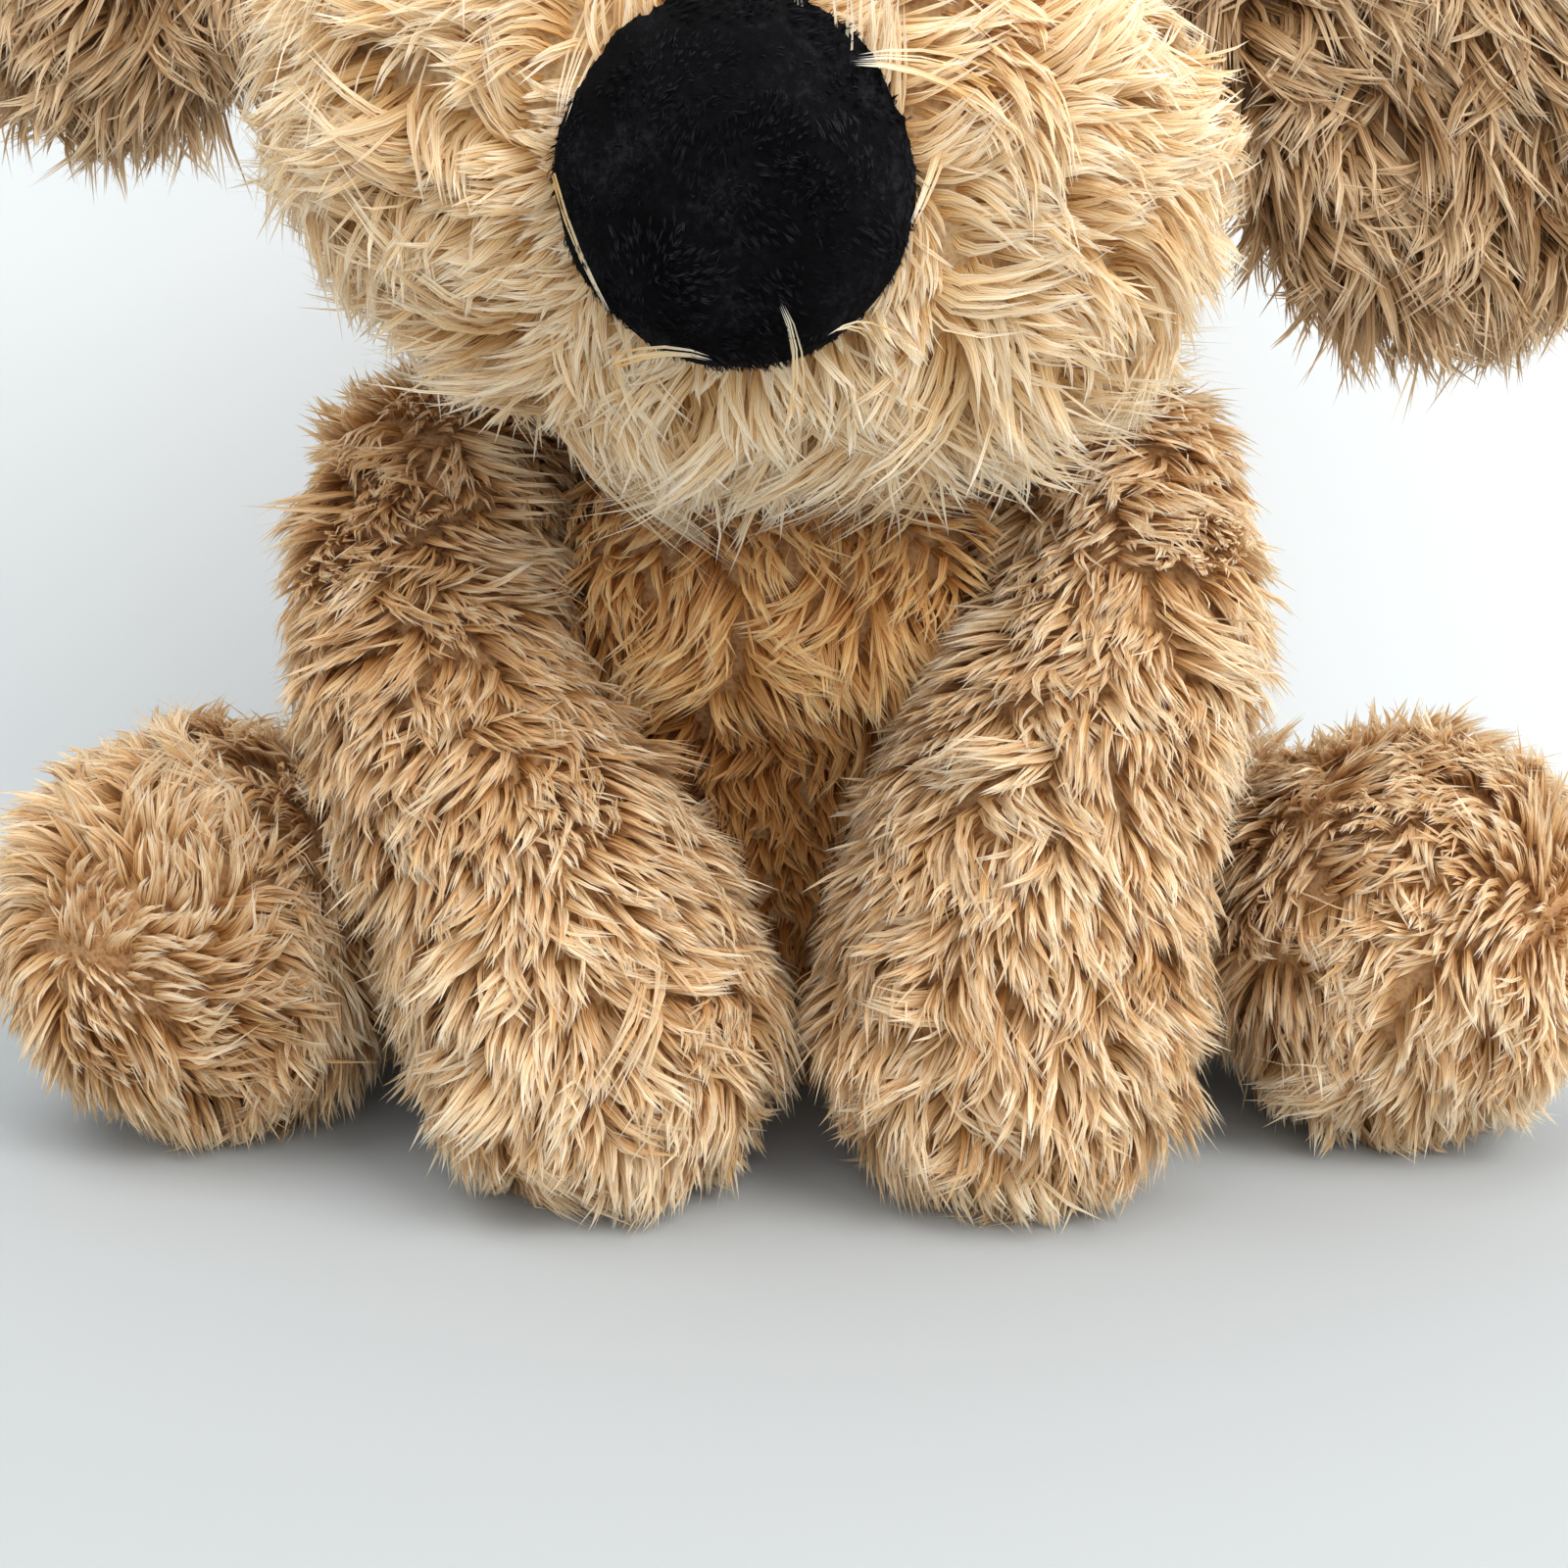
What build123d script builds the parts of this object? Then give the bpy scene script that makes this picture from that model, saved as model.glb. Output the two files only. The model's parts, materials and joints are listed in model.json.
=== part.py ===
"""Sitting plush dog: fur covers over stuffing, sewn ball-seated limbs and locked safety eyes.

Millimetres. The dog faces -Y, sits on z = 0 and +Z is up. Left is the dog's own left, +X.
"""
import math
import os

from build123d import *

# --- driving dimensions -------------------------------------------------------------------
PILE_WALL = 7.0          # fur cloth as sewn: backing plus laid pile
BASE_WALL = 3.0          # the same cloth squashed flat where it is sat on
SEAT_GAP = 0.3           # running gap where one soft body turns against another
ARM_GAP = 1.3            # the same along an arm, which swings out of its seat
BALL_GAP = 1.7           # the same at a hip or the tail, whose ball is less exact
FILL_GAP = 0.5           # stuffing to cloth
THREAD_R = 0.5           # seam thread
THREAD_ROOM = 0.25       # room round a thread in its own tunnel

HEAD_C = (-2.0, -22.0, 178.0)    # centre of the head ball; both neck joints pass through it
HEAD_R = 62.0
HEAD_ROLL = 9.0                  # lean of the head towards the dog's left
MUZZLE_OFF = (0.0, -44.0, -19.0)
MUZZLE_HALF_W = 66.0
MUZZLE_R = 41.0
NOSE_OFF = (1.0, -79.5, -29.0)
NOSE_R = 22.5
NOSE_HALF_D = 13.0
NOSE_WALL = 2.0

EYE_SPREAD = 25.0        # half the distance between the eyes
EYE_RISE = 25.0          # above the centre of the head
EYE_R = 6.5
EYE_H = 4.5
EYE_SEAT_R = 59.5        # eye base from the head centre, sunk in the pile
SHANK_R = 2.0
SHANK_L = 14.0
SHANK_RIB = 0.25
RIB_PITCH = 1.6
WASHER_R = 7.0
WASHER_T = 1.4
WASHER_GAP = 0.08        # washer teeth over the ribs
WASHER_TEETH = 8

EAR_ROOT = (58.0, -12.0, 40.0)
EAR_ROOT_R = 13.0
EAR_PAD = (106.0, -12.0, 13.0)
EAR_HALF_W = 32.0
EAR_HALF_H = 34.0
EAR_LAYER = 6.5
EAR_ROUND = 4.0
EAR_SEAM = 0.3

NECK_R = 12.0
NECK_FOOT_Z = 94.0

TORSO = (                # z, half width, half depth, centre y
    (0.0, 60.0, 40.0, 28.0),
    (12.0, 72.0, 50.0, 30.0),
    (36.0, 77.0, 55.0, 31.0),
    (62.0, 76.0, 54.0, 27.0),
    (76.0, 72.0, 56.0, 18.0),
    (92.0, 66.0, 57.0, 10.0),
    (110.0, 56.0, 50.0, 5.0),
    (125.0, 44.0, 38.0, 3.0),
    (135.0, 31.0, 26.0, 2.0),
)
RIGHT_ARM = (            # x, y, z, radius from shoulder to paw
    (-57.0, -25.0, 111.0, 20.5),
    (-59.0, -37.0, 92.0, 21.5),
    (-51.0, -47.0, 71.0, 22.5),
    (-38.5, -52.0, 49.0, 25.5),
    (-30.5, -53.0, 27.4, 28.5),
)
LEFT_ARM = (
    (55.0, -25.0, 111.0, 20.5),
    (55.5, -38.0, 92.0, 21.5),
    (45.5, -48.0, 70.0, 24.5),
    (38.5, -52.0, 50.0, 27.5),
    (36.0, -53.0, 28.0, 29.5),
)
HIP_R = 33.5
HIP = (73.0, 20.0, 33.0)
SHIN_R = 28.0
FOOT_R = 36.0
RIGHT_FOOT = (-100.0, -23.0, 35.5)
LEFT_FOOT = (107.0, -26.0, 35.5)

TAIL_ROOT = (0.0, 87.0, 42.0)
TAIL_TIP = (6.0, 111.0, 56.0)
TAIL_ROOT_R = 15.0
TAIL_R = 11.0
TAIL_WALL = 5.0

BAG_Y = 40.0
BAG_HALF_W = 34.0
BAG_HALF_D = 23.0
BAG_H = 15.0
BAG_WALL = 1.2
PELLET_R = 2.4
PAW_BEANS_R = 15.0
FOOT_BEANS_R = 20.0
FAIR_STEPS = 3           # sections of an arm from each of its stations to the next


# --- helpers ------------------------------------------------------------------------------
def dome_stations(centre, axis, radius, start):
    """Sections of a round end, as (point, direction, radius), from the pole inwards."""
    sign = -1.0 if start else 1.0
    stations = []
    for angle in (78.0, 60.0, 38.0, 18.0):
        reach = radius * math.sin(math.radians(angle))
        stations.append((centre + axis * (sign * reach), axis, radius * math.cos(math.radians(angle))))
    return stations if start else stations[::-1]


def faired(spine, steps):
    """The stations of a limb with others between them, on one smooth curve through them."""
    closer = []
    for index in range(len(spine) - 1):
        start, end = spine[index], spine[index + 1]
        before = spine[max(index - 1, 0)]
        after = spine[min(index + 2, len(spine) - 1)]
        for step in range(steps):
            t = step / steps
            closer.append(tuple(
                b + 0.5 * t * (c - a + t * (2 * a - 5 * b + 4 * c - d + t * (3 * b - a - 3 * c + d)))
                for a, b, c, d in zip(before, start, end, after)))
    return closer + [spine[-1]]


def limb(spine, inset=0.0, steps=FAIR_STEPS):
    """Soft limb through (x, y, z, radius) stations, round at both ends, shrunk by inset."""
    spine = faired(spine, steps)
    points = [Vector(*station[:3]) for station in spine]
    radii = [station[3] - inset for station in spine]
    axes = []
    for index in range(len(points)):
        before = points[max(index - 1, 0)]
        after = points[min(index + 1, len(points) - 1)]
        axes.append((after - before).normalized())
    stations = dome_stations(points[0], axes[0], radii[0], True)
    stations += list(zip(points, axes, radii))
    stations += dome_stations(points[-1], axes[-1], radii[-1], False)
    side = Vector(0, 0, 1) if abs(axes[0].Z) < 0.5 else Vector(1, 0, 0)
    with BuildPart() as body:
        for point, axis, radius in stations:
            with BuildSketch(Plane(point, x_dir=side - axis * side.dot(axis), z_dir=axis)):
                Circle(radius)
        loft()
    return body.part


def pear(inset=0.0):
    """Torso body through its level sections, shrunk by inset."""
    with BuildPart() as body:
        for height, half_w, half_d, centre_y in TORSO:
            with BuildSketch(Plane((0, centre_y, height))):
                Ellipse(half_w - inset, half_d - inset)
        loft()
    return body.part


def ball(centre, radius):
    """Sphere at a point."""
    with BuildPart() as body:
        with Locations(centre):
            Sphere(radius)
    return body.part


def egg(centre, half_x, half_y, half_z):
    """Ellipsoid at a point."""
    with BuildPart() as body:
        Sphere(1.0)
        scale(by=(half_x, half_y, half_z))
    return body.part.moved(Location(centre))


def muzzle_ball(inset=0.0):
    """Muzzle bulk in head coordinates: an egg lying across the face."""
    return egg(MUZZLE_OFF, MUZZLE_HALF_W - inset, MUZZLE_R - inset, MUZZLE_R - inset)


def nose_ball(inset=0.0):
    """Nose dome in head coordinates: a flattened ball facing forward."""
    return egg(NOSE_OFF, NOSE_R - inset, NOSE_HALF_D - inset, NOSE_R - inset)


def thread_ring(plane, radius, room=0.0):
    """Seam thread as a ring, or with room the tunnel it lies in."""
    with BuildPart() as body:
        with BuildSketch(Plane(plane.origin, x_dir=plane.x_dir, z_dir=plane.y_dir)):
            with Locations((radius, 0)):
                Circle(THREAD_R + room)
        revolve(axis=Axis(plane.origin, plane.z_dir))
    return body.part


def above(part, height):
    """The part of a solid above a level plane."""
    with BuildPart() as body:
        add(part)
        split(bisect_by=Plane.XY.offset(height), keep=Keep.TOP)
    return body.part


def less(part, *tools):
    """A solid with others taken out of it."""
    with BuildPart() as body:
        add(part)
        for tool in tools:
            add(tool, mode=Mode.SUBTRACT)
    return body.part


def placed_on_head(part):
    """From head coordinates to the part's frame, with the head's lean."""
    return part.rotate(Axis.Y, HEAD_ROLL).moved(Location(HEAD_C))


def mirrored(part):
    """The same piece for the other side, in head coordinates."""
    return part.mirror(Plane.YZ)


def save(part, name):
    """Name a finished piece and write it."""
    part.label = name
    export_step(part, f"parts/{name}.step")


# --- head ---------------------------------------------------------------------------------
def eye_plane(side):
    """Plane at the head centre whose normal runs out through one eye."""
    ahead = math.sqrt(HEAD_R ** 2 - EYE_SPREAD ** 2 - EYE_RISE ** 2)
    out = Vector(side * EYE_SPREAD, -ahead, EYE_RISE).normalized()
    return Plane((0, 0, 0), x_dir=Vector(0, 0, 1) - out * out.Z, z_dir=out)


def eye_room(side, radius, low, high):
    """Round space along an eye's axis, between two distances from the head centre."""
    with BuildPart() as body:
        with BuildSketch(eye_plane(side).offset(low)):
            Circle(radius)
        extrude(amount=high - low)
    return body.part


def eye(side):
    """Safety eye: domed button with a ribbed shank."""
    rim = 0.6
    shoulder = (EYE_R * 0.72, rim + (EYE_H - rim) * 0.69)
    outline = [(EYE_R, rim), (EYE_R - rim, 0), (SHANK_R, 0)]
    depth = -1.0
    while depth - RIB_PITCH > -SHANK_L + 1.2:
        outline.append((SHANK_R, depth))
        outline.append((SHANK_R + SHANK_RIB, depth - RIB_PITCH * 0.25))
        depth -= RIB_PITCH
    outline += [(SHANK_R, depth), (SHANK_R - 0.8, -SHANK_L), (0, -SHANK_L), (0, EYE_H)]
    with BuildPart() as body:
        with BuildSketch(Plane.XZ):
            with BuildLine():
                Polyline(*outline)
                ThreePointArc((0, EYE_H), shoulder, (EYE_R, rim))
            make_face()
        revolve(axis=Axis.Z)
    return body.part.moved(Location(eye_plane(side).offset(EYE_SEAT_R)))


def washer(side):
    """Locking washer: dished disc with teeth that grip the ribs."""
    hole = SHANK_R + SHANK_RIB + WASHER_GAP
    with BuildPart() as body:
        Cylinder(WASHER_R, WASHER_T, align=(Align.CENTER, Align.CENTER, Align.MAX))
        with Locations((0, 0, -WASHER_T)):
            Cylinder(hole + 1.6, 0.9, align=(Align.CENTER, Align.CENTER, Align.MAX))
        Cylinder(hole, 8 * WASHER_T, mode=Mode.SUBTRACT)
        with PolarLocations(hole + 0.8, WASHER_TEETH):
            Box(2.0, 0.5, 3 * WASHER_T, mode=Mode.SUBTRACT)
    seat = eye_plane(side).offset(washer_face())
    return body.part.moved(Location(seat))


def washer_face():
    """How far from the head centre a washer's outer face lies flat against the cloth."""
    return math.sqrt((HEAD_R - PILE_WALL) ** 2 - WASHER_R ** 2) - FILL_GAP


def ear_outline(grow=0.0):
    """Outline of one ear, root circle run into the hanging pad."""
    with BuildSketch(Plane.XZ) as outline:
        with Locations((EAR_ROOT[0], EAR_ROOT[2])):
            Circle(EAR_ROOT_R + grow)
        with Locations((EAR_PAD[0], EAR_PAD[2])):
            Circle(EAR_HALF_W + grow)
        with Locations((EAR_PAD[0], EAR_PAD[2] - (EAR_HALF_H - EAR_HALF_W))):
            Circle(EAR_HALF_W + grow)
        make_hull()
    return outline.sketch


def ear_layer(front):
    """One cloth layer of the left ear, rounded on its outer edge."""
    offset_y = EAR_ROOT[1] - (EAR_SEAM / 2 if front else -EAR_SEAM / 2)
    with BuildPart() as body:
        with BuildSketch(Plane.XZ.offset(-offset_y)):
            add(ear_outline())
        extrude(amount=EAR_LAYER if front else -EAR_LAYER)
        outer = body.faces().sort_by(Axis.Y)[0 if front else -1]
        fillet(outer.edges(), EAR_ROUND)
    return body.part


def ear_room(room, side=1):
    """Seat in the head for an ear's root, with room all round."""
    with BuildPart() as body:
        with BuildSketch(Plane.XZ.offset(-EAR_ROOT[1])):
            add(ear_outline(room))
        extrude(amount=EAR_LAYER + EAR_SEAM + room, both=True)
    return body.part if side > 0 else mirrored(body.part)


def neck_thread_plane():
    """Level circle under the head, inside the cloth, in head coordinates."""
    depth = HEAD_R - PILE_WALL / 2
    return Plane((0, 0, -math.sqrt(depth ** 2 - (NECK_R + 3) ** 2)))


def build_head():
    """Head cover, its stuffing, eyes, washers and the neck seam."""
    both = (1, -1)
    pockets = [ear_room(SEAT_GAP, side) for side in both]
    walls = [ear_room(SEAT_GAP + BASE_WALL, side) for side in both]
    seats = [eye_room(side, EYE_R + FILL_GAP, EYE_SEAT_R, HEAD_R + 5) for side in both]
    holes = [eye_room(side, SHANK_R + SHANK_RIB + 0.1, HEAD_R - PILE_WALL - 5, HEAD_R) for side in both]
    cavity = less(ball((0, 0, 0), HEAD_R - PILE_WALL), *walls)
    tunnel = thread_ring(neck_thread_plane(), NECK_R + 3, THREAD_ROOM)
    cover = less(ball((0, 0, 0), HEAD_R), cavity, *pockets, *seats, *holes, tunnel)
    save(placed_on_head(cover), "head_cover")
    save(placed_on_head(thread_ring(neck_thread_plane(), NECK_R + 3)), "neck_seam_thread")

    rooms = []
    for side in both:
        rooms.append(eye_room(side, WASHER_R + FILL_GAP, washer_face() - WASHER_T - 1.3, HEAD_R))
        rooms.append(eye_room(side, SHANK_R + 1.0, EYE_SEAT_R - SHANK_L - 0.6, HEAD_R))
        rooms.append(ear_room(SEAT_GAP + BASE_WALL + FILL_GAP, side))
    fill = less(ball((0, 0, 0), HEAD_R - PILE_WALL - FILL_GAP), *rooms)
    save(placed_on_head(fill), "head_stuffing")
    for side, name in ((1, "left"), (-1, "right")):
        save(placed_on_head(eye(side)), f"{name}_eye")
        save(placed_on_head(washer(side)), f"{name}_eye_washer")


def build_muzzle():
    """Muzzle cover and stuffing, nose cover and stuffing."""
    back = ball((0, 0, 0), HEAD_R + FILL_GAP)
    lining = ball((0, 0, 0), HEAD_R + FILL_GAP + BASE_WALL)
    cavity = less(muzzle_ball(PILE_WALL), lining)
    seats = [eye_room(side, EYE_R + FILL_GAP, EYE_SEAT_R, HEAD_R + 20) for side in (1, -1)]
    save(placed_on_head(less(muzzle_ball(), back, cavity, *seats)), "muzzle_cover")
    inner = ball((0, 0, 0), HEAD_R + 2 * FILL_GAP + BASE_WALL)
    fill_seats = [eye_room(side, EYE_R + FILL_GAP + BASE_WALL, EYE_SEAT_R, HEAD_R + 20) for side in (1, -1)]
    save(placed_on_head(less(muzzle_ball(PILE_WALL + FILL_GAP), inner, *fill_seats)), "muzzle_stuffing")

    hollow = less(nose_ball(NOSE_WALL), muzzle_ball(-FILL_GAP - NOSE_WALL / 2))
    save(placed_on_head(less(nose_ball(), muzzle_ball(-FILL_GAP), hollow)), "nose_cover")
    wad = less(nose_ball(NOSE_WALL + FILL_GAP), muzzle_ball(-2 * FILL_GAP - NOSE_WALL / 2))
    save(placed_on_head(wad), "nose_stuffing")


def build_ears():
    """Both ears, front and back layers, with the thread that holds each root."""
    plane = Plane((EAR_ROOT[0], EAR_ROOT[1] - EAR_SEAM / 2 - EAR_LAYER / 2, EAR_ROOT[2]),
                  x_dir=(1, 0, 0), z_dir=(0, -1, 0))
    radius = EAR_ROOT_R - 4
    front = less(ear_layer(True), thread_ring(plane, radius, THREAD_ROOM))
    pieces = {"ear_front": front, "ear_back": ear_layer(False), "ear_seam_thread": thread_ring(plane, radius)}
    for name, piece in pieces.items():
        save(placed_on_head(piece), f"left_{name}")
        save(placed_on_head(mirrored(piece)), f"right_{name}")


# --- torso and limbs ----------------------------------------------------------------------
def leg_bulk(side, foot, inset=0.0):
    """Leg from the round thigh to the foot."""
    hip = (side * HIP[0], HIP[1], HIP[2])
    near = tuple(a + (b - a) * 0.4 for a, b in zip(hip, foot))
    far = tuple(a + (b - a) * 0.7 for a, b in zip(hip, foot))
    return limb(((*hip, HIP_R), (*near, SHIN_R), (*far, SHIN_R + 1.5), (*foot, FOOT_R)), inset, 1)


def tail_bulk(inset=0.0):
    """Tail with a ball root."""
    mid = tuple((a + b) / 2 for a, b in zip(TAIL_ROOT, TAIL_TIP))
    return limb(((*TAIL_ROOT, TAIL_ROOT_R), (*mid, TAIL_R), (*TAIL_TIP, TAIL_R)), inset, 1)


def muzzle_sweep(room):
    """Space the muzzle sweeps over the chest as the head turns."""
    swing = -MUZZLE_OFF[1]
    centre = Vector(HEAD_C[0], HEAD_C[1], HEAD_C[2] + MUZZLE_OFF[2])
    start = Vector(math.cos(math.radians(-190)), math.sin(math.radians(-190)), 0)
    with BuildPart() as body:
        with BuildSketch(Plane(centre, x_dir=start, z_dir=start.cross(Vector(0, 0, 1)))):
            with Locations((swing, 0)):
                Circle(MUZZLE_R + room)
            with Locations((-3 * swing, 0)):
                Rectangle(6 * swing, 6 * swing, mode=Mode.SUBTRACT)
        revolve(axis=Axis(centre, (0, 0, 1)), revolution_arc=200)
    return body.part


def neck_column(radius, low, top_room):
    """Round column under the head ball, dished to it."""
    with BuildPart() as body:
        with BuildSketch(Plane((HEAD_C[0], HEAD_C[1], low))):
            Circle(radius)
        extrude(amount=HEAD_C[2] - HEAD_R - low + 12)
        add(ball(HEAD_C, HEAD_R + top_room), mode=Mode.SUBTRACT)
    return body.part


def arm_thread_plane(spine):
    """Circle round the shoulder, square to the first run of the arm."""
    first = Vector(*spine[0][:3])
    axis = (Vector(*spine[1][:3]) - first).normalized()
    return Plane(first + axis * 2.0, x_dir=Vector(1, 0, 0) - axis * axis.X, z_dir=axis)


def build_arm(name, spine):
    """One arm: cover, stuffing, paw beans and shoulder thread."""
    paw = Vector(*spine[-1][:3])
    plane = arm_thread_plane(spine)
    radius = spine[0][3] - PILE_WALL / 2
    beans = ball(paw, PAW_BEANS_R)
    cavity = above(limb(spine, PILE_WALL), BASE_WALL)
    cover = less(above(limb(spine), 0), cavity, thread_ring(plane, radius, THREAD_ROOM))
    fill = above(limb(spine, PILE_WALL + FILL_GAP), BASE_WALL + FILL_GAP)
    save(cover, f"{name}_arm_cover")
    save(less(fill, ball(paw, PAW_BEANS_R + FILL_GAP)), f"{name}_arm_stuffing")
    save(beans, f"{name}_paw_beans")
    save(thread_ring(plane, radius), f"{name}_shoulder_seam_thread")


def build_leg(name, side, foot):
    """One leg: cover, stuffing, foot beans and hip thread."""
    hip = Vector(side * HIP[0], HIP[1], HIP[2])
    along = (Vector(*foot) - hip).normalized()
    plane = Plane(hip, x_dir=(0, 0, 1), z_dir=along)
    radius = HIP_R - PILE_WALL / 2
    cavity = above(leg_bulk(side, foot, PILE_WALL), BASE_WALL)
    tunnel = above(thread_ring(plane, radius, THREAD_ROOM), -50)
    cover = less(above(leg_bulk(side, foot), 0), cavity, tunnel)
    fill = above(leg_bulk(side, foot, PILE_WALL + FILL_GAP), BASE_WALL + FILL_GAP)
    save(cover, f"{name}_leg_cover")
    save(less(fill, ball(foot, FOOT_BEANS_R + FILL_GAP)), f"{name}_leg_stuffing")
    save(ball(foot, FOOT_BEANS_R), f"{name}_foot_beans")
    save(thread_ring(plane, radius), f"{name}_hip_seam_thread")


def build_tail():
    """Tail cover, stuffing and thread."""
    root = Vector(*TAIL_ROOT)
    along = (Vector(*TAIL_TIP) - root).normalized()
    plane = Plane(root, x_dir=(1, 0, 0), z_dir=along)
    radius = TAIL_ROOT_R - TAIL_WALL / 2
    cover = less(tail_bulk(), tail_bulk(TAIL_WALL), thread_ring(plane, radius, THREAD_ROOM))
    save(cover, "tail_cover")
    save(tail_bulk(TAIL_WALL + FILL_GAP), "tail_stuffing")
    save(thread_ring(plane, radius), "tail_seam_thread")


def seats(room):
    """Every space kept clear of the torso for what turns against it."""
    return [
        ball(HEAD_C, HEAD_R + room),
        muzzle_sweep(room + 0.7),
        ball((HIP[0], HIP[1], HIP[2]), HIP_R + room + BALL_GAP - SEAT_GAP),
        ball((-HIP[0], HIP[1], HIP[2]), HIP_R + room + BALL_GAP - SEAT_GAP),
        ball(TAIL_ROOT, TAIL_ROOT_R + room + BALL_GAP - SEAT_GAP),
    ]


def bean_bag(inset=0.0):
    """Flat oval bag of the seat weight."""
    with BuildPart() as body:
        with BuildSketch(Plane((0, BAG_Y, BASE_WALL + 3 + inset))):
            Ellipse(BAG_HALF_W - inset, BAG_HALF_D - inset)
        extrude(amount=BAG_H - 2 * inset)
        if inset == 0.0:
            fillet(body.edges(), 4.0)
    return body.part


def seat_pellets():
    """Loose pellets in the bag, in two layers of rows that fit its oval."""
    low = BASE_WALL + 3 + BAG_WALL + PELLET_R + 0.3
    pitch = 2 * PELLET_R + 0.6
    room_w = BAG_HALF_W - BAG_WALL - PELLET_R - 0.5
    room_d = BAG_HALF_D - BAG_WALL - PELLET_R - 0.5
    spots = []
    for layer in range(2):
        for row in range(-4, 5):
            for column in range(-6, 7):
                x = column * pitch
                y = row * pitch
                if (x / room_w) ** 2 + (y / room_d) ** 2 < 1:
                    spots.append((x, BAG_Y + y, low + layer * (2 * PELLET_R + 0.4)))
    with BuildPart() as body:
        with Locations(*spots):
            Sphere(PELLET_R)
    return body.part


def build_torso():
    """Torso cover, stuffing, neck wad, bean bag and pellets."""
    arms = [limb(LEFT_ARM, -ARM_GAP), limb(RIGHT_ARM, -ARM_GAP)]
    column = neck_column(NECK_R + SEAT_GAP, NECK_FOOT_Z - SEAT_GAP, SEAT_GAP)
    outer = less(pear(), *seats(SEAT_GAP), *arms, column)
    arm_walls = [limb(LEFT_ARM, -ARM_GAP - PILE_WALL), limb(RIGHT_ARM, -ARM_GAP - PILE_WALL)]
    column_wall = neck_column(NECK_R + SEAT_GAP + BASE_WALL, NECK_FOOT_Z - SEAT_GAP - BASE_WALL, 0)
    cavity = less(above(pear(PILE_WALL), BASE_WALL), *seats(SEAT_GAP + PILE_WALL), *arm_walls, column_wall)
    save(less(outer, cavity), "torso_cover")

    bag = bean_bag()
    fill_inset = -ARM_GAP - PILE_WALL - FILL_GAP
    fill_walls = [limb(LEFT_ARM, fill_inset), limb(RIGHT_ARM, fill_inset)]
    room = FILL_GAP + BASE_WALL + SEAT_GAP
    column_room = neck_column(NECK_R + room, NECK_FOOT_Z - room, 0)
    fill = less(above(pear(PILE_WALL + FILL_GAP), BASE_WALL + FILL_GAP),
                *seats(SEAT_GAP + PILE_WALL + FILL_GAP), *fill_walls, column_room, bean_bag(-FILL_GAP))
    save(fill, "torso_stuffing")
    save(neck_column(NECK_R, NECK_FOOT_Z, SEAT_GAP), "neck_stuffing")
    save(less(bag, bean_bag(BAG_WALL)), "seat_bean_bag")
    save(seat_pellets(), "seat_pellets")


os.makedirs("parts", exist_ok=True)
build_head()
build_muzzle()
build_ears()
build_arm("left", LEFT_ARM)
build_arm("right", RIGHT_ARM)
build_leg("left", 1, LEFT_FOOT)
build_leg("right", -1, RIGHT_FOOT)
build_tail()
build_torso()
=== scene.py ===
"""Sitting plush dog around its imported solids.

Skins stand for the fur covers, long pile grows from them, and soft pieces stand for the filling.
Then come the fleece nose and the studio. Points and lengths are in millimetres until they are
written to a mesh. The dog faces -Y, and left is the dog's own left, +X.
"""

import json
import math

import bpy
import numpy as np
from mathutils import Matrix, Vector, kdtree
from mathutils.bvhtree import BVHTree


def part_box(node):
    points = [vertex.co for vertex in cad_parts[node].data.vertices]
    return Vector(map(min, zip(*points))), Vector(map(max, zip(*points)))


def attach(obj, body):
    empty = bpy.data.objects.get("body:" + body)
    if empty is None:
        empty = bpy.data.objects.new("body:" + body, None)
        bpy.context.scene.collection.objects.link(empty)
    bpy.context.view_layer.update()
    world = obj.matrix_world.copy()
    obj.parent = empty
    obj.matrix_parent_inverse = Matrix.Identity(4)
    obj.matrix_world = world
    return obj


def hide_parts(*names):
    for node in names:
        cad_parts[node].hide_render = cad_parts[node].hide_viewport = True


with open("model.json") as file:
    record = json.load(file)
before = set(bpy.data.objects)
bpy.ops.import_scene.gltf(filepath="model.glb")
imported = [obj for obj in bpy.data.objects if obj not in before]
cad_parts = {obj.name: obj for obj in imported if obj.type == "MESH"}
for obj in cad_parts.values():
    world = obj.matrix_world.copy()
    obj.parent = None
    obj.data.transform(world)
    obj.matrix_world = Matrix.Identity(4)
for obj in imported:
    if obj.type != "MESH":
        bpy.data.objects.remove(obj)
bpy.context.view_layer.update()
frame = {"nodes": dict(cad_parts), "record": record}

MM = 0.001
COLUMNS = 64                            # tones in a palette, one narrow column of its map each
HEAD = np.array((-2.0, -22.0, 178.0))   # middle of the head ball
ROLL = math.radians(9.0)                # lean of the head
WELD = 0.00002                          # metres within which corners of a solid's mesh are one


# --- plain tools --------------------------------------------------------------------------
def deselect():
    """Nothing selected and object mode."""
    if bpy.context.object and bpy.context.object.mode != "OBJECT":
        bpy.ops.object.mode_set(mode="OBJECT")
    bpy.ops.object.select_all(action="DESELECT")


def choose(piece):
    """Only this piece selected and active."""
    deselect()
    piece.select_set(True)
    bpy.context.view_layer.objects.active = piece


def apply_all(piece):
    """Apply every modifier of a piece in order."""
    choose(piece)
    for modifier in list(piece.modifiers):
        bpy.ops.object.modifier_apply(modifier=modifier.name)


def on_head(x, y, z):
    """A point given from the middle of the head, leaned with it, in the row frame, millimetres."""
    c, s = math.cos(ROLL), math.sin(ROLL)
    return HEAD + np.array((x * c + z * s, y, -x * s + z * c))


def unit(v):
    """Rows of v at length one."""
    return v / np.maximum(np.linalg.norm(v, axis=-1, keepdims=True), 1e-9)


def dot(a, b):
    """Row by row dot product, kept as a column."""
    return np.sum(a * b, axis=-1, keepdims=True)


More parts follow.
